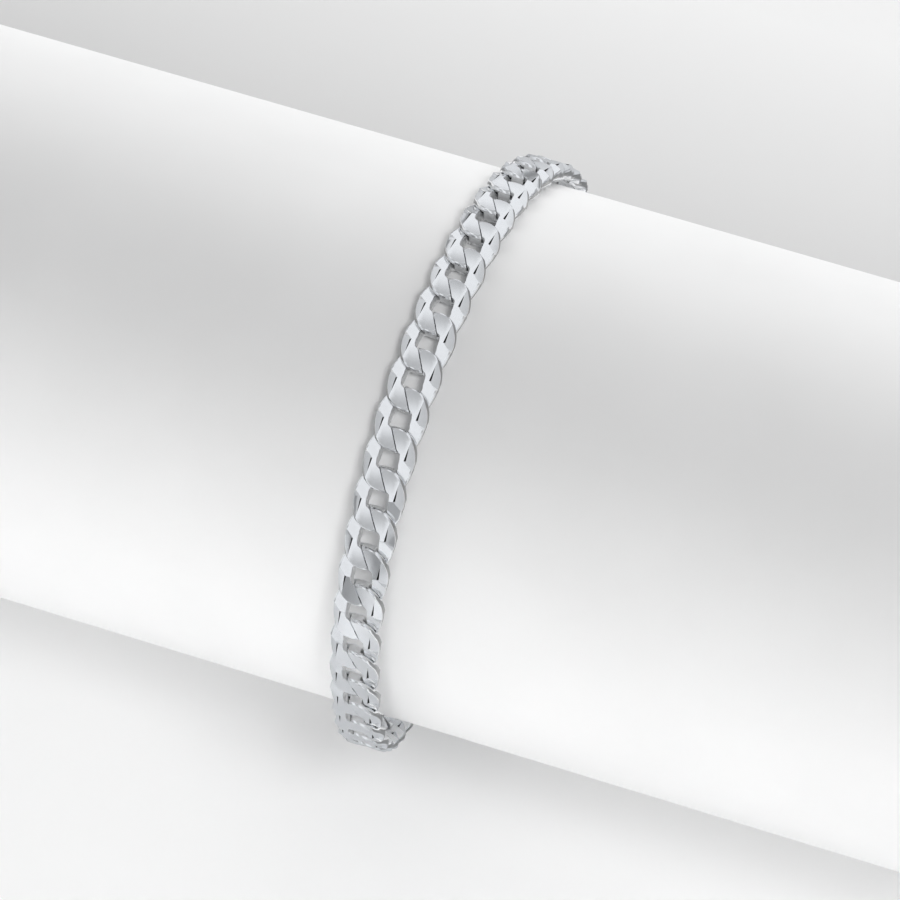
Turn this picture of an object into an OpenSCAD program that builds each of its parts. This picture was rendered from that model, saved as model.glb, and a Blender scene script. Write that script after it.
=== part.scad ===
// Flattened curb link bracelet closed round a plain display roll.
// Millimetres, +Z up. The roll lies along X and the origin is the centre of its left end.

/* [Links] */
// number of links in the chain
link_count = 43; // [38:1:52]
// length of one link along the chain
link_length = 7.1; // [6.6:0.05:8.2]
// width of one link across the chain
link_width = 5.6; // [5.2:0.05:7]
// thickness of one link through its two flat faces
link_thick = 1.8; // [1.6:0.05:2.4]
// width of the wire in the long sides of a link
side_wire = 1.6; // [1.3:0.05:1.8]
// width of the wire in the rounded ends of a link
end_wire = 1.2; // [0.9:0.05:1.3]
// free play along the chain between the end wires of two joined links
link_play = 0.31; // [0.25:0.01:0.6]
// free height between two links where one passes over the other
cross_gap = 0.3; // [0.2:0.02:0.5]
// squareness of the oval, where 2 is a true ellipse
oval_power = 2.4; // [2.2:0.1:3]
// share of the wire width that stays flat on top
flat_share = 0.7; // [0.5:0.05:0.8]
// sideways lean of the wire towards the window on the raised side
wire_lean = 0.2; // [0:0.05:0.3]

/* [Jump rings] */
// inner diameter of the ring that joins an end link to the clasp
ring_inner = 3.25; // [3.1:0.05:3.6]
// diameter of the ring wire
ring_wire = 1; // [0.7:0.05:1]

/* [Clasp] */
// length of the clasp from end to end
clasp_length = 15.8; // [12:0.1:20]
// width of the clasp body
clasp_width = 6; // [5:0.1:8]
// thickness of the clasp body
clasp_thick = 2.4; // [1.8:0.1:3]
// width of the two end tabs
tab_width = 4.4; // [3.6:0.1:5]
// thickness of the two end tabs
tab_thick = 1.2; // [0.8:0.05:1.3]
// metal left between a tab hole and the end of the clasp
tab_rim = 1.1; // [0.9:0.05:1.2]
// free space between a tab and the end link next to it
tab_gap = 0.25; // [0.2:0.01:0.35]
// free space round a ring in its tab hole
hole_gap = 0.33; // [0.2:0.01:0.4]

/* [Loop on the roll] */
// free space between the links and the roll at the top of the loop
rest_gap = 0.13; // [0.1:0.01:0.5]
// extra length of the loop over the girth of the roll
loop_slack = 14.4; // [12:0.1:30]
// how far the sides of the loop stand out
side_spread = 0.46; // [0:0.01:1]
// how far the loop is pushed to the front
front_push = 0.2; // [0:0.01:0.4]
// how far the lowest part of the loop sways to the left
bottom_sway = 3.88; // [0:0.02:5]
// angle from the top at which the sway begins
sway_start = 95; // [80:1:110]
// place of the middle link along the loop, counted from the top towards the front
chain_turn = -1.42; // [-4:0.01:4]
// distance of the loop from the middle of the roll
loop_offset = 2; // [-30:0.5:30]

/* [Display roll] */
// length of the roll
roll_length = 140; // [80:1:200]

/* [Hidden] */
// stations round one link and corners of its wire
link_stations = 16;
wire_corners = 6;
// fine steps of the loop curve and rounds of halving for the sag
curve_steps = 360;
halvings = 24;
half_turn = 180;
turn = 360;
quarter_turn = 90;
// small angle to each side of a point that gives the loop's direction there
side_angle = 0.25;
// flat sides of the rings and of the clasp's round ends
round_steps = 64;
// extra depth of the cut for a tab hole
hole_over = 1;
// first link number with two digits
name_switch = 10;

silver_color = [0.80, 0.82, 0.85];
roll_color = [0.93, 0.93, 0.93];

// spacing of the links along the chain
link_pitch = link_length - 2 * end_wire - link_play;
// centre line of the oval wire
oval_a = (link_length - end_wire) / 2;
oval_b = (link_width - side_wire) / 2;

// ring centre and clasp end, both counted from the centre of the end link
ring_radius = (ring_inner + ring_wire) / 2;
clasp_start = link_length / 2 + tab_gap;
tab_hole_reach = tab_rim + hole_gap + ring_wire / 2;
ring_reach = clasp_start + tab_hole_reach - ring_radius;
hole_radius = ring_wire / 2 + hole_gap;
// straight part from one ring centre to the other
ring_span = clasp_length + 2 * (clasp_start - ring_reach);

// length of the closed loop and the roll that it goes round
loop_length = (link_count - 1) * link_pitch + clasp_length + 2 * clasp_start;
roll_diameter = (loop_length - loop_slack) / PI;
roll_radius = roll_diameter / 2;
loop_rise = roll_radius + link_thick / 2 + rest_gap;
loop_x = roll_length / 2 + loop_offset;

// distance of the loop from the roll axis at an angle from the top, positive to the front
function loop_r(a, sag) =
    loop_rise
    + sag * (1 - cos(a)) / 2
    + side_spread * (1 - cos(2 * a)) / 2
    + front_push * sin(a);

// sideways shift of the loop at that angle
function loop_sway(a) =
    let (share = max(0, abs(a) - sway_start) / (half_turn - sway_start))
    -bottom_sway * (1 - cos(half_turn * share)) / 2;

function loop_point(a, sag) = [loop_sway(a), -loop_r(a, sag) * sin(a), loop_r(a, sag) * cos(a)];

function unit(v) = v / norm(v);

// direction of travel along the loop, from the top to the front
function loop_way(a, sag) =
    unit(loop_point(a + side_angle, sag) - loop_point(a - side_angle, sag));

// angle after k fine steps, side is -1 for the back and 1 for the front
function step_angle(side, k) = side * k * half_turn / curve_steps;

function step_length(side, k, sag) =
    norm(loop_point(step_angle(side, k + 1), sag) - loop_point(step_angle(side, k), sag));

// table of length along one side of the loop and angle, from the top to the lowest point
function side_table(side, sag) = [
    for (k = 0, s = 0; k <= curve_steps; s = s + step_length(side, k, sag), k = k + 1)
        [s, step_angle(side, k)]
];

function loop_tables(sag) = [side_table(-1, sag), side_table(1, sag)];

function angle_at(s, tables) = lookup(abs(s), s < 0 ? tables[0] : tables[1]);

// place of link number k along the loop
function link_place(k) = chain_turn + (k - (link_count + 1) / 2) * link_pitch;

// angle of the end link, side is -1 for link one and 1 for the last
function end_angle(side, tables) = angle_at(link_place(side < 0 ? 1 : link_count), tables);

// centre of the ring beyond that end link
function ring_point(side, sag, tables) =
    let (a = end_angle(side, tables))
    loop_point(a, sag) + side * ring_reach * loop_way(a, sag);

function ring_distance(sag, tables) =
    norm(ring_point(1, sag, tables) - ring_point(-1, sag, tables));

// sag of the loop that leaves just the clasp between the two rings
function solve_sag(low, high, rounds) =
    let (
        mid = (low + high) / 2,
        short = ring_distance(mid, loop_tables(mid)) < ring_span
    )
    rounds == 0 ? mid
        : short ? solve_sag(mid, high, rounds - 1)
        : solve_sag(low, mid, rounds - 1);

loop_sag = solve_sag(0, roll_radius, halvings);
loop_curve = loop_tables(loop_sag);

function signed_power(v, p) = sign(v) * pow(abs(v), p);

// one corner list of the wire at a station of the link
function wire_section(t) =
    let (
        x = oval_a * signed_power(cos(t), 2 / oval_power),
        y = oval_b * signed_power(sin(t), 2 / oval_power),
        nx = signed_power(cos(t), 2 - 2 / oval_power) / oval_a,
        ny = signed_power(sin(t), 2 - 2 / oval_power) / oval_b,
        n = norm([nx, ny]),
        half = (end_wire + (side_wire - end_wire) * abs(ny / n)) / 2,
        flat = half * flat_share,
        raised = -sign(x) * sign(y),
        top = raised < 0 ? -cross_gap / 2 : link_thick / 2,
        low = raised > 0 ? cross_gap / 2 : -link_thick / 2,
        lean = wire_lean * sign(x)
    )
    [
        [x + nx / n * half, y + ny / n * half, (top + low) / 2],
        [x + nx / n * flat, y + ny / n * flat + lean, top],
        [x - nx / n * flat, y - ny / n * flat + lean, top],
        [x - nx / n * half, y - ny / n * half, (top + low) / 2],
        [x - nx / n * flat, y - ny / n * flat - lean, low],
        [x + nx / n * flat, y + ny / n * flat - lean, low]
    ];

function corner_index(i, j) =
    (i % link_stations) * wire_corners + j % wire_corners;

link_points = [
    for (i = [0 : link_stations - 1])
        for (corner = wire_section(i * turn / link_stations))
            corner
];

link_faces = [
    for (i = [0 : link_stations - 1])
        for (j = [0 : wire_corners - 1])
            for (half = [0, 1])
                half == 0
                    ? [corner_index(i, j), corner_index(i + 1, j), corner_index(i + 1, j + 1)]
                    : [corner_index(i, j), corner_index(i + 1, j + 1), corner_index(i, j + 1)]
];

// puts a piece drawn along X, with its outer face up, at a point of the loop
module on_loop(point, way) {
    translate(point + [loop_x, 0, 0])
        rotate([atan2(-way[2], -way[1]), 0, 0])
            rotate([0, 0, asin(way[0]) - quarter_turn])
                children();
}

module curb_link(k) {
    a = angle_at(link_place(k), loop_curve);
    color(silver_color)
        on_loop(loop_point(a, loop_sag), loop_way(a, loop_sag))
            polyhedron(points = link_points, faces = link_faces, convexity = 6);
}

module jump_ring(side) {
    a = end_angle(side, loop_curve);
    color(silver_color)
        on_loop(ring_point(side, loop_sag, loop_curve), loop_way(a, loop_sag))
            rotate([quarter_turn, 0, 0])
                rotate_extrude($fn = round_steps)
                    translate([ring_radius, 0])
                        circle(d = ring_wire, $fn = round_steps);
}

// flat outline with round ends
module rounded_bar(length, width) {
    square([length - width, width], center = true);
    for (side = [-1, 1])
        translate([side * (length - width) / 2, 0])
            circle(d = width, $fn = round_steps);
}

module clasp_shape() {
    body_length = clasp_length - 2 * (tab_hole_reach + ring_wire / 2 + hole_gap + tab_gap);
    difference() {
        union() {
            linear_extrude(height = tab_thick, center = true)
                rounded_bar(clasp_length, tab_width);
            linear_extrude(height = clasp_thick, center = true)
                rounded_bar(body_length, clasp_width);
        }
        for (side = [-1, 1])
            translate([side * (clasp_length / 2 - tab_hole_reach), 0, 0])
                cylinder(r = hole_radius, h = tab_thick + hole_over, center = true, $fn = round_steps);
    }
}

module clasp() {
    first = ring_point(-1, loop_sag, loop_curve);
    last = ring_point(1, loop_sag, loop_curve);
    color(silver_color)
        on_loop((first + last) / 2, unit(first - last))
            clasp_shape();
}

module display_roll() {
    color(roll_color)
        rotate([0, quarter_turn, 0])
            cylinder(d = roll_diameter, h = roll_length, $fn = 2 * round_steps);
}

function link_name(k) = str("link_", k < name_switch ? "0" : "", k);

display_roll();
for (k = [1 : link_count]) curb_link(k);
jump_ring(1);  // jump_ring_a
jump_ring(-1);  // jump_ring_b
clasp();
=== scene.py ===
# Looks of the link bracelet on its display roll: polished links, rings, clasp, wrapped roll,
# floor and light. A link is drawn in millimetres and scaled; everything else is in metres.

import math

import bmesh
import bpy
import numpy as np
from mathutils import Matrix, Vector


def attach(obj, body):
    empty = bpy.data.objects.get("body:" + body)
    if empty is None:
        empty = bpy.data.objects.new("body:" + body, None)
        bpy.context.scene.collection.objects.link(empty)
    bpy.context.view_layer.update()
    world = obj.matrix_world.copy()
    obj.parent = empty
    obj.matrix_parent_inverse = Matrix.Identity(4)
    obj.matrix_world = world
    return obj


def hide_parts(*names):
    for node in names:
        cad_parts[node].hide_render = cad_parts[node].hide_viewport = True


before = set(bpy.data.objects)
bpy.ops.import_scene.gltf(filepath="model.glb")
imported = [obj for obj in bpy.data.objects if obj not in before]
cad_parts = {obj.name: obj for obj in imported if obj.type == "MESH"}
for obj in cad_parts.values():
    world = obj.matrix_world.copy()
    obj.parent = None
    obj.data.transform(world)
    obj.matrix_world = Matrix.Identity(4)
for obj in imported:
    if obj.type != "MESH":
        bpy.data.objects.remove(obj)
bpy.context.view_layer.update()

MM = 0.001

# ---------------------------------------------------------------- link, in millimetres
LINK_LENGTH = 7.1
LINK_WIDTH = 5.6
LINK_THICK = 1.8
END_WIRE = 1.2
SIDE_WIRE = 1.6
OVAL_POWER = 2.4
CROSS_GAP = 0.30
HALF_PITCH = 2.195
# height of the flat upper face, and of the part that lies under the next link
RAISED = LINK_THICK / 2
LOWERED = -CROSS_GAP / 2 - 0.04

# line on which the faces of two joined links meet, seen from above
MEET_SLOPE = 0.57
MEET_GAP = 0.085
MEET_FOOT = 0.02

# flat cut on the outer shoulder of the raised side: its tip, its head, its far end and its tilt
CUT_TIP = (-0.43, -2.62)
CUT_HEAD = (0.29, -1.70)
CUT_END = (2.50, -1.90)
CUT_TILT = 0.549
# slope of the cut's inner edge, as far as it steepens the cut
CUT_SKEW = 0.09
# inset of the cut's low edge at its tip, its head, shortly before its end and at its end
CUT_INSETS = (0.19, 0.07, 0.07, 0.11)
# rows below the cut: share of that inset, counted from the outline, and drop below the low edge
CUT_RIM = [(0.0, 0.16), (0.3, 0.05)]

# slit between the cut and the flat face; below the least width it is closed
SLIT_WIDTH = 0.21
SLIT_DEPTH = 0.45
SLIT_LENGTH = 1.6
SLIT_START = 0.05
SLIT_TAPER = 0.8
SLIT_LEAST = 0.012
SLIT_OPEN = 0.013
SLIT_STEEPNESS = 1.4
# rows of faces in the slit, and the stations after the tip between which they are painted dark as
# shade
SLIT_ROWS = {4, 5}
SLIT_DARK = (0.9, 3.4)
# extra station just before the slit begins
SLIT_LEAD = 0.06

# sloping face that runs down under the next link
SLOPE_LEVEL = 0.862
SLOPE_ALONG = 0.33
SLOPE_ACROSS = 0.03
# how far the flat face leans towards the meeting line at the end of the link, and from where
FACE_LEAN = 6.0
LEAN_START = 1.75
# sideways lean of the raised side, and its share at the cut's tip, its head, after it and its end
SIDE_LEAN = 0.22
LEAN_GROWTH = (0, 0, 0.3, 1)
# rows between the outline and the flat face: share of the way out, and share of the rim's drop
RIM_ROWS = [(1.0, 1.0), (0.62, 0.22), (0.08, 0.01)]
RIM_DROP_END = 0.30
RIM_DROP_SIDE = 0.2
# rows on the flat face, and the small bevel where it ends at the window
FACE_SHARES = (0.08, 0.35, 0.65, 0.94)
WINDOW_BEVEL = (0.05, 0.09)
# edges that turn more than this stay sharp
SHARP_ANGLE = 20.0

# stations of the lowered half: outer angle and angle on the window side
LOWERED_STATIONS = [
    (-169.0, -179.0),
    (-160.0, -171.0),
    (-148.0, -158.0),
    (-135.0, -135.0),
    (-125.4, -113.8),
    (-123.4, -110.5),
    (-113.0, -106.0),
    (-104.0, -101.5),
]
# shares of the way from the outline to the window at which its face begins and ends
LOWERED_FACE = (0.12, 0.95)
# the two stations between which the surface steps down at the outline of the link before,
# and how far past that outline each of them stands
STEP_LOW, STEP_HIGH = 4, 5
STEP_CLEAR_LOW = -0.04
STEP_CLEAR_HIGH = 0.03
# the raised end of a link is this much narrower than its oval outline
NEIGHBOUR_NARROWING = 0.91

# stations of the raised half: outer angle, edge of the flat face on the outside and on the
# window side; where no y is given the edge lies on the slit's line or on the meeting line
RAISED_STATIONS = [
    (-97.0, CUT_TIP, (-0.36, -1.215)),
    (-87.2, CUT_HEAD, (0.20, -1.23)),
    (-77.4, (1.00, None), (0.78, -1.15)),
    (-70.0, (1.42, None), (1.02, -0.98)),
    (-64.0, (1.78, None), (1.20, None)),
    (-49.0, CUT_END, (1.60, None)),
    (-33.0, (2.94, -1.46), (1.93, None)),
    (-17.0, (3.24, -0.88), (2.15, None)),
    (-3.0, (3.36, -0.20), (2.29, None)),
    (5.0, (3.24, 0.18), (2.36, None)),
    (10.0, (3.00, None), (2.42, None)),
]
# numbers of the stations at the cut's tip, head and end, counted through both halves
TIP = len(LOWERED_STATIONS)
HEAD = TIP + 1
END = TIP + 5
# stations over which the sideways lean fades out after the cut
LEAN_FADE = 3
# stations of the long side, where the outer wall is painted dark as shade; before and after them
# it lies inside the next link's window
SIDE_FIRST, SIDE_LAST = 3, END + 1

# material slots of a link; the slots of the slit and of the outer wall carry painted shade
FACE_SLOT, SLIT_SHADE_SLOT, WALL_SHADE_SLOT, SATIN_SLOT = range(4)
# points closer than this become one
MERGE_DISTANCE = 1e-5


def signed_power(value, power):
    return math.copysign(abs(value) ** power, value)


def oval(degrees, half_length, half_width):
    """Point of the squared oval at an angle."""
    a = math.radians(degrees)
    power = 2 / OVAL_POWER
    return np.array((half_length * signed_power(math.cos(a), power),
                     half_width * signed_power(math.sin(a), power)))


def outer(degrees):
    return oval(degrees, LINK_LENGTH / 2, LINK_WIDTH / 2)


def inner(degrees):
    return oval(degrees, LINK_LENGTH / 2 - END_WIRE, LINK_WIDTH / 2 - SIDE_WIRE)


def meet_y(x, side_gap):
    """The meeting line at the raised end, moved sideways by a gap."""
    return MEET_SLOPE * (x - HALF_PITCH) + side_gap * math.hypot(1, MEET_SLOPE)


def on_meeting_line(point):
    """Moves a point of the lowered end sideways onto the meeting line there."""
    return point[0], -meet_y(-point[0], -MEET_FOOT)


def slit_y(x):
    slope = (CUT_END[1] - CUT_HEAD[1]) / (CUT_END[0] - CUT_HEAD[0])
    return CUT_HEAD[1] + slope * (x - CUT_HEAD[0])


def lowered_controls():
    """The half that passes under the next link, from the meeting line to the cut's tip."""
    rows = []
    for angle, inner_angle in LOWERED_STATIONS:
        o, i = outer(angle), inner(inner_angle)
        rows.append((angle, *(o + (i - o) * share for share in LOWERED_FACE)))
    angle, face_out, face_in = rows[0]
    rows[0] = (angle, on_meeting_line(face_out), on_meeting_line(face_in))
    return rows


def raised_controls():
    """The half that lies on top, from the cut's tip to the meeting line at its end."""
    rows = []
    for number, (angle, (out_x, out_y), (in_x, in_y)) in enumerate(RAISED_STATIONS):
        last = number == len(RAISED_STATIONS) - 1
        if out_y is None:
            out_y = meet_y(out_x, -MEET_GAP) if last else slit_y(out_x)
        if in_y is None:
            in_y = meet_y(in_x, -MEET_GAP)
        rows.append((angle, (out_x, out_y), (in_x, in_y)))
    return rows


CONTROLS = lowered_controls() + raised_controls()
ANGLES = [angle for angle, _, _ in CONTROLS]
FACE_OUT = [np.array(point) for _, point, _ in CONTROLS]
FACE_IN = [np.array(point) for _, _, point in CONTROLS]
IN_CORNERS = {STEP_LOW, STEP_HIGH}
OUT_CORNERS = IN_CORNERS | {TIP, HEAD, END, len(CONTROLS) - 2}


def neighbour_edge(y):
    """X of the outline of the link before, at a place across the chain."""
    share = min(1.0, abs(y) / (LINK_WIDTH / 2 * NEIGHBOUR_NARROWING)) ** OVAL_POWER
    return LINK_LENGTH / 2 * (1 - share) ** (1 / OVAL_POWER) - 2 * HALF_PITCH


def on_step(point, q):
    """Moves a point of the two step stations onto the outline of the link before."""
    if q < STEP_LOW or q > STEP_HIGH:
        return point
    clear = np.interp(q, (STEP_LOW, STEP_HIGH), (STEP_CLEAR_LOW, STEP_CLEAR_HIGH))
    return np.array((neighbour_edge(point[1]) + clear, point[1]))


def catmull(points, q, corners):
    """Smooth curve through points at parameter q, with sharp corners at the given ones."""
    n = len(points) - 1
    k = min(int(q), n - 1)
    t = q - k
    p1, p2 = points[k], points[k + 1]
    m1 = p2 - p1 if k == 0 or k in corners else (p2 - points[k - 1]) / 2
    m2 = p2 - p1 if k + 1 == n or k + 1 in corners else (points[k + 2] - p1) / 2
    return ((2 * t ** 3 - 3 * t ** 2 + 1) * p1 + (t ** 3 - 2 * t ** 2 + t) * m1
            + (3 * t ** 2 - 2 * t ** 3) * p2 + (t ** 3 - t ** 2) * m2)


def top_level(x, y):
    """Height of the upper surface: the flat face, the slope and the part under the next link."""
    slope = SLOPE_LEVEL + SLOPE_ALONG * x + SLOPE_ACROSS * y
    past_step = np.interp(x - neighbour_edge(y), (STEP_CLEAR_LOW, STEP_CLEAR_HIGH), (0, 1))
    slope = LOWERED + (max(slope, LOWERED) - LOWERED) * float(past_step)
    along = max(0.0, x) / (LINK_LENGTH / 2)
    lean = math.tan(math.radians(FACE_LEAN)) * along * max(0.0, y + LEAN_START)
    return max(LOWERED, min(RAISED - lean, slope))


def cut_level(x, y):
    """Height of the flat cut on the outer shoulder."""
    return RAISED - CUT_TILT * max(0.0, slit_y(x) - y) / math.hypot(1, CUT_SKEW)


def slit_width(x, q):
    """Width of the slit, which narrows to a point away from the cut's head."""
    if q < HEAD + SLIT_START:
        return SLIT_LEAST
    share = max(0.0, min(1.0, 1 - (x - CUT_HEAD[0]) / SLIT_LENGTH))
    return max(SLIT_WIDTH * share ** SLIT_TAPER, SLIT_LEAST)


def rim_point(q, angle):
    """Point of the outline, leaning sideways on the raised side."""
    raised = np.interp(q, (TIP, HEAD, END, END + LEAN_FADE), (0, 1, 1, 0))
    growth = np.interp(q, (TIP, HEAD, HEAD + 1, END), LEAN_GROWTH)
    return outer(angle) + np.array((0, SIDE_LEAN * raised * growth))


def cut_rows(q, rim, out, lip, level):
    """Rows of the cut, from the outline to the slit."""
    inset = float(np.interp(q, (TIP, HEAD, END - 1, END), CUT_INSETS))
    low = rim - out * inset
    rows = [(rim - out * inset * share, cut_level(*low) - drop) for share, drop in CUT_RIM]
    return rows + [(low, cut_level(*low)), (lip, min(level, cut_level(*lip)))]


def shoulder_rows(q, rim, face_edge, lip, level):
    """Rounded rows from the outline to the flat face, away from the cut."""
    drop = RIM_DROP_END if q > END else RIM_DROP_SIDE
    rows = [(face_edge + (rim - face_edge) * share, level - drop * part)
            for share, part in RIM_ROWS]
    return rows + [(lip, level)]


def face_rows(q, face_out, face_in):
    """Rows of the flat face and the slope, and the bevel at the window."""
    rows = []
    for share in FACE_SHARES:
        p = on_step(face_out + (face_in - face_out) * share, q)
        rows.append((p, top_level(*p)))
    inward = (face_in - face_out) / np.linalg.norm(face_in - face_out)
    level = top_level(*face_in)
    rows.append((face_in, level))
    rows.append((face_in + inward * WINDOW_BEVEL[0], level - WINDOW_BEVEL[1]))
    return rows


def top_rows(q):
    """Points of the upper surface at one station, from the outline to the window."""
    angle = float(np.interp(q, range(len(ANGLES)), ANGLES))
    rim = rim_point(q, angle)
    face_out = on_step(catmull(FACE_OUT, q, OUT_CORNERS), q)
    face_in = on_step(catmull(FACE_IN, q, IN_CORNERS), q)
    level = RAISED if HEAD <= q <= END else top_level(*face_out)
    wide = slit_width(face_out[0], q)
    out = (rim - face_out) / max(1e-6, np.linalg.norm(rim - face_out))
    lip = face_out + out * wide
    if TIP < q < END:
        rows = cut_rows(q, rim, out, lip, level)
    else:
        rows = shoulder_rows(q, rim, face_out, lip, level)
    deep = 0.0
    if wide > SLIT_OPEN:
        deep = SLIT_DEPTH * min(1.0, wide / SLIT_WIDTH * SLIT_STEEPNESS)
    rows += [((lip + face_out) / 2, level - deep), (face_out, level)]
    rows += face_rows(q, face_out, face_in)
    return [np.array((p[0], p[1], z)) for p, z in rows], angle


def station_places():
    """Places of the stations: the controls, the points half way, and two at the slit's start."""
    last = len(CONTROLS) - 1
    places = [k + s for k in range(last) for s in (0, 0.5)] + [last]
    return sorted(places + [HEAD + SLIT_START, HEAD - SLIT_LEAD])


def link_sections(places):
    """Closed sections of the wire round the link; its underside is its top turned over."""
    tops, phases = zip(*(top_rows(q) for q in places))
    count = len(places)
    turned_over = np.array((-1, 1, -1))
    sections = []
    for k, top in enumerate(tops):
        bottom = [p * turned_over for p in tops[count - 1 - k]]
        middle = outer((phases[k] - 180 - phases[count - 1 - k]) / 2)
        outer_mid = np.array((middle[0], middle[1], (top[0][2] + bottom[0][2]) / 2))
        inner_mid = (top[-1] + bottom[-1]) / 2
        sections.append([outer_mid] + top + [inner_mid] + bottom[::-1])
    half_turn = np.array((-1, -1, 1))
    return sections + [[p * half_turn for p in section] for section in sections]


def slot_of_face(station, row, rows, places):
    """Material slot of a face: slit painted dark as shade, outer wall painted dark as shade along
    the long side, window wall or polished face.
    """
    # a section holds the outer middle, the top, the inner middle and the underside
    top_count = rows // 2 - 1
    underside = row > top_count
    from_rim = rows - 1 - row if underside else row
    place = places[len(places) - 2 - station] if underside else places[station]
    # the slit's faces here are painted nearly black as shade
    if from_rim in SLIT_ROWS and TIP + SLIT_DARK[0] < place < TIP + SLIT_DARK[1]:
        return SLIT_SHADE_SLOT
    # the outer wall of the long side is painted dark as shade
    if row in (0, rows - 1):
        return WALL_SHADE_SLOT if SIDE_FIRST <= places[station] < SIDE_LAST else SATIN_SLOT
    return SATIN_SLOT if row in (top_count, top_count + 1) else FACE_SLOT


def link_mesh(name):
    """One link lying flat with X along the chain, in millimetres, as a closed ring."""
    places = station_places()
    ring = link_sections(places)
    rows = len(ring[0])
    bm = bmesh.new()
    verts = [[bm.verts.new(p) for p in section] for section in ring]
    for i, a in enumerate(verts):
        b = verts[(i + 1) % len(verts)]
        for j in range(rows):
            after = (j + 1) % rows
            face = bm.faces.new((a[j], b[j], b[after], a[after]))
            face.material_index = slot_of_face(i % len(places), j, rows, places)
    bmesh.ops.remove_doubles(bm, verts=bm.verts, dist=MERGE_DISTANCE)
    bmesh.ops.recalc_face_normals(bm, faces=bm.faces)
    if bm.calc_volume(signed=True) < 0:
        bmesh.ops.reverse_faces(bm, faces=bm.faces)
    for face in bm.faces:
        face.smooth = True
    sharp = math.radians(SHARP_ANGLE)
    for edge in bm.edges:
        edge.smooth = not (edge.is_manifold and edge.calc_face_angle(0) > sharp)
    mesh = bpy.data.meshes.new(name)
    bm.to_mesh(mesh)
    bm.free()
    return mesh


# ---------------------------------------------------------------- materials
WHITE = (1, 1, 1)
SILVER_TINT = (0.975, 0.985, 1.0)
# faint cool tint of everything that the metal mirrors
STUDIO_TINT = (0.955, 0.975, 1.0)
# share of its tone that the floor keeps where the metal mirrors it
MIRRORED_FLOOR = 0.64
# tones of the sheet at distances in front of (-) and behind (+) the roll's axis, in metres: a
# painted shadow of the roll, darker under and behind it
FLOOR_SHADOW_TONES = [(-0.30, 0.90), (-0.13, 0.99), (-0.040, 0.99), (-0.008, 0.94), (0.030, 0.82),
               (0.075, 0.67), (0.110, 0.86)]

# mottled values: noise scale and detail, low and high value
SILVER_TONES = (900, 3, 0.93, 0.97)
SILVER_ROUGHNESS = (2600, 4, 0.10, 0.15)
WRAP_TONES = (60, 4, 0.86, 0.89)
WRAP_ROUGHNESS = (400, 4, 0.55, 0.62)
FLOOR_ROUGHNESS = (4, 3, 0.68, 0.74)
# bumps: noise scale and detail, strength, and distance in metres
SILVER_BUMP = (5000, 2, 0.02, 0.00002)
WRAP_BUMP = (3500, 5, 0.04, 0.00003)
# silver without a mirror finish, its tone painted dark as shade in the slits and on the outer
# walls and satin elsewhere: name, noise scale and detail, low and high tone, roughness
# the slit's silver, its tone painted nearly black as shade
SLIT_PAINTED_SHADE = ("silver_slit_painted_shade", (1500, 3, 0.03, 0.09), 0.45)
# the outer wall's silver, its tone painted dark as shade
WALL_PAINTED_SHADE = ("silver_wall_painted_shade", (1500, 3, 0.38, 0.46), 0.3)
SATIN = ("silver_satin", (1200, 3, 0.90, 0.94), 0.6)


def new_material(name):
    material = bpy.data.materials.new(name)
    material.use_nodes = True
    return material, material.node_tree, material.node_tree.nodes["Principled BSDF"]


def noise(tree, scale, detail):
    where = tree.nodes.new("ShaderNodeTexCoord")
    texture = tree.nodes.new("ShaderNodeTexNoise")
    texture.inputs["Scale"].default_value = scale
    texture.inputs["Detail"].default_value = detail
    tree.links.new(where.outputs["Object"], texture.inputs["Vector"])
    return texture.outputs["Fac"]


def ramp(tree, source, stops):
    node = tree.nodes.new("ShaderNodeValToRGB")
    elements = node.color_ramp.elements
    while len(elements) < len(stops):
        elements.new(0.5)
    for element, (place, colour) in zip(elements, stops):
        element.position = place
        element.color = colour
    tree.links.new(source, node.inputs["Fac"])
    return node.outputs["Color"]


def map_range(tree, source, low, high):
    node = tree.nodes.new("ShaderNodeMapRange")
    node.inputs["From Min"].default_value = low
    node.inputs["From Max"].default_value = high
    tree.links.new(source, node.inputs["Value"])
    return node.outputs["Result"]


def coordinate(tree, kind, axis):
    where = tree.nodes.new("ShaderNodeTexCoord")
    parts = tree.nodes.new("ShaderNodeSeparateXYZ")
    tree.links.new(where.outputs[kind], parts.inputs[0])
    return parts.outputs[axis]


def grey(value, tint=WHITE):
    return (value * tint[0], value * tint[1], value * tint[2], 1)


def mottle(tree, socket, values, tint=WHITE, high_stop=0.7):
    """Gives a socket a value that wanders between two."""
    scale, detail, low, high = values
    stops = [(0.3, grey(low, tint)), (high_stop, grey(high, tint))]
    tree.links.new(ramp(tree, noise(tree, scale, detail), stops), socket)


def add_bump(tree, shader, values):
    scale, detail, strength, distance = values
    node = tree.nodes.new("ShaderNodeBump")
    node.inputs["Strength"].default_value = strength
    node.inputs["Distance"].default_value = distance
    tree.links.new(noise(tree, scale, detail), node.inputs["Height"])
    tree.links.new(node.outputs["Normal"], shader.inputs["Normal"])


def silver_material():
    material, tree, shader = new_material("polished_silver")
    shader.inputs["Metallic"].default_value = 1
    mottle(tree, shader.inputs["Base Color"], SILVER_TONES, SILVER_TINT)
    mottle(tree, shader.inputs["Roughness"], SILVER_ROUGHNESS, high_stop=0.75)
    add_bump(tree, shader, SILVER_BUMP)
    return material


def rough_silver_or_painted_shade(name, tones, roughness):
    """Silver without a mirror finish: for the slits and the outer walls its dark tone is painted
    shade, for the other walls it is satin.
    """
    material, tree, shader = new_material(name)
    shader.inputs["Metallic"].default_value = 1
    mottle(tree, shader.inputs["Base Color"], tones)
    shader.inputs["Roughness"].default_value = roughness
    return material


def wrap_material():
    """White covering of the roll."""
    material, tree, shader = new_material("white_wrap")
    mottle(tree, shader.inputs["Base Color"], WRAP_TONES)
    mottle(tree, shader.inputs["Roughness"], WRAP_ROUGHNESS)
    add_bump(tree, shader, WRAP_BUMP)
    return material


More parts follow.
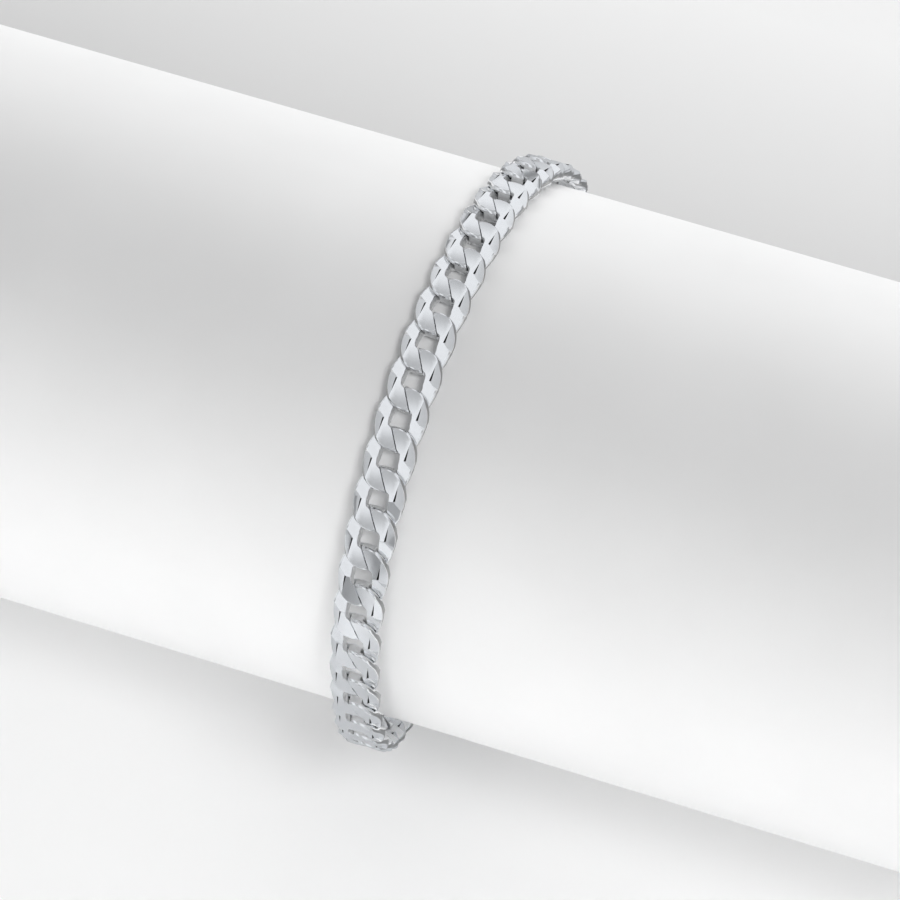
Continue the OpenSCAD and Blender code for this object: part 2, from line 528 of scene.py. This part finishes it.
def floor_material():
    """Pale sheet with a painted shadow of the roll, darker under and behind it, and painted a
    little darker in the metal's reflection.
    """
    material, tree, shader = new_material("pale_floor")
    first, last = FLOOR_SHADOW_TONES[0][0], FLOOR_SHADOW_TONES[-1][0]
    share = map_range(tree, coordinate(tree, "Object", "Y"), first, last)
    stops = [((y - first) / (last - first), grey(tone)) for y, tone in FLOOR_SHADOW_TONES]
    path = tree.nodes.new("ShaderNodeLightPath")
    deeper = tree.nodes.new("ShaderNodeMixRGB")
    deeper.blend_type = "MULTIPLY"
    deeper.inputs["Color2"].default_value = grey(MIRRORED_FLOOR, STUDIO_TINT)
    tree.links.new(path.outputs["Is Glossy Ray"], deeper.inputs["Fac"])
    tree.links.new(ramp(tree, share, stops), deeper.inputs["Color1"])
    tree.links.new(deeper.outputs["Color"], shader.inputs["Base Color"])
    mottle(tree, shader.inputs["Roughness"], FLOOR_ROUGHNESS)
    return material


# ---------------------------------------------------------------- pieces
def add_piece(name, mesh):
    piece = bpy.data.objects.new(name, mesh)
    bpy.context.scene.collection.objects.link(piece)
    return piece


def node_frame(node):
    """Centre and directions of a link's solid: along the loop, across it, and outwards."""
    points = np.unique(np.round([v.co for v in node.data.vertices], 7), axis=0)
    centre = points.mean(axis=0)
    spread = (points - centre).T @ (points - centre)
    directions = np.linalg.eigh(spread)[1]
    e_x, e_y = Vector(directions[:, 2]), Vector(directions[:, 1])
    if e_y.x < 0:
        e_y = -e_y
    e_z = e_x.cross(e_y)
    if e_z.dot(Vector((0, centre[1], centre[2]))) < 0:
        e_x, e_z = -e_x, -e_z
    turn = Matrix((e_x, e_y, e_z)).transposed().to_4x4()
    turn.translation = Vector(centre)
    return turn


def build_links(materials):
    """The same link mesh in the place of every link's solid."""
    mesh = link_mesh("curb_link")
    mesh.transform(Matrix.Scale(MM, 4))
    for material in materials:
        mesh.materials.append(material)
    for name, node in sorted(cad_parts.items()):
        if name.startswith("link_"):
            piece = add_piece("curb_" + name, mesh)
            piece.matrix_world = node_frame(node)
            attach(piece, "root")
            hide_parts(name)


def dress_node(name, material):
    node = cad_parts[name]
    node.data.materials.clear()
    node.data.materials.append(material)


# ---------------------------------------------------------------- stage, light and camera
FLOOR_LEVEL = -0.040
FLOOR_HALF = 3.0

# name, place, target, width and height, power, spread in degrees
LIGHTS = [
    ("key", (0.45, -0.36, 0.62), (0.07, 0, 0), (0.25, 0.25), 2.5, 180),
    ("back_fill", (0.07, 0.46, 0.245), (0.07, 0, 0), (0.9, 0.25), 2.85, 180),
    ("front_fill", (0.09, -0.40, -0.005), (0.08, 0, -0.01), (0.5, 0.05), 0.070, 60),
    ("floor_fill", (0.05, -0.16, 0.08), (0.05, -0.13, -0.04), (0.4, 0.08), 0.12, 90),
    ("left_fill", (-0.30, -0.25, -0.005), (0.03, -0.01, -0.04), (0.2, 0.04), 0.09, 90),
]

# tones of the studio seen across the loop, from far left to far right
STUDIO_BAND = [(-1.0, 0.52), (-0.88, 0.64), (-0.68, 0.84), (-0.56, 0.47), (-0.39, 0.47),
               (-0.30, 0.90), (-0.17, 0.90), (-0.09, 0.47), (0.05, 0.47), (0.18, 0.84),
               (0.45, 0.85), (0.64, 0.62), (1.0, 0.52)]
MIRRORED_STRENGTH = 1.0
AMBIENT_STRENGTH = 0.21

# the photo's view, worked out from the two edges of the roll and the spacing of the links;
# distance and target in millimetres
CAM_ELEVATION = 49.6528
CAM_AZIMUTH = 21.2513
CAM_DISTANCE = 853.0645
CAM_TARGET = (69.99, 0.0, -1.1242)
CAM_LENS = 308.67
CAM_SENSOR = 36.0
CAM_CLIP = (0.05, 20)


def build_floor(material):
    bm = bmesh.new()
    bmesh.ops.create_grid(bm, x_segments=8, y_segments=8, size=FLOOR_HALF)
    mesh = bpy.data.meshes.new("floor")
    bm.to_mesh(mesh)
    bm.free()
    mesh.materials.append(material)
    floor = add_piece("floor", mesh)
    floor.location = (0, 0, FLOOR_LEVEL)


def aim(thing, direction):
    thing.rotation_mode = "QUATERNION"
    thing.rotation_quaternion = direction.to_track_quat("-Z", "Y")


def area_light(name, place, target, size, power, spread):
    """A soft light that shades the surfaces but isn't mirrored in the metal."""
    data = bpy.data.lights.new(name, "AREA")
    data.shape = "RECTANGLE"
    data.size, data.size_y = size
    data.energy = power
    data.spread = math.radians(spread)
    light = bpy.data.objects.new(name, data)
    bpy.context.scene.collection.objects.link(light)
    light.location = place
    light.visible_glossy = False
    light.visible_camera = False
    aim(light, Vector(target) - Vector(place))


def studio_world():
    """A room whose tones change from left to right, dimmer as light than as a reflection."""
    world = bpy.data.worlds.new("studio")
    bpy.context.scene.world = world
    world.use_nodes = True
    tree = world.node_tree
    across = map_range(tree, coordinate(tree, "Generated", "X"), -1, 1)
    stops = [((x + 1) / 2, grey(tone, STUDIO_TINT)) for x, tone in STUDIO_BAND]
    mirrored = tree.nodes["Background"]
    tree.links.new(ramp(tree, across, stops), mirrored.inputs["Color"])
    mirrored.inputs["Strength"].default_value = MIRRORED_STRENGTH
    ambient = tree.nodes.new("ShaderNodeBackground")
    ambient.inputs["Color"].default_value = grey(1.0)
    ambient.inputs["Strength"].default_value = AMBIENT_STRENGTH
    path = tree.nodes.new("ShaderNodeLightPath")
    mix = tree.nodes.new("ShaderNodeMixShader")
    tree.links.new(path.outputs["Is Diffuse Ray"], mix.inputs["Fac"])
    tree.links.new(mirrored.outputs[0], mix.inputs[1])
    tree.links.new(ambient.outputs[0], mix.inputs[2])
    tree.links.new(mix.outputs[0], tree.nodes["World Output"].inputs["Surface"])


def build_camera():
    up, side = math.radians(CAM_ELEVATION), math.radians(CAM_AZIMUTH)
    look = Vector((-math.sin(side) * math.cos(up), math.cos(side) * math.cos(up), -math.sin(up)))
    data = bpy.data.cameras.new("camera")
    data.lens = CAM_LENS
    data.sensor_width = CAM_SENSOR
    data.clip_start, data.clip_end = CAM_CLIP
    camera = bpy.data.objects.new("camera", data)
    bpy.context.scene.collection.objects.link(camera)
    camera.location = (Vector(CAM_TARGET) - look * CAM_DISTANCE) * MM
    aim(camera, look)
    bpy.context.scene.camera = camera


build_camera()
silver = silver_material()
# the slit and the outer wall take silver painted dark as shade
build_links([silver, rough_silver_or_painted_shade(*SLIT_PAINTED_SHADE), rough_silver_or_painted_shade(*WALL_PAINTED_SHADE), rough_silver_or_painted_shade(*SATIN)])
for name in ("jump_ring_a", "jump_ring_b", "clasp"):
    dress_node(name, silver)
dress_node("display_roll", wrap_material())
build_floor(floor_material())
studio_world()
for light in LIGHTS:
    area_light(*light)
bpy.context.scene.view_settings.view_transform = "Standard"
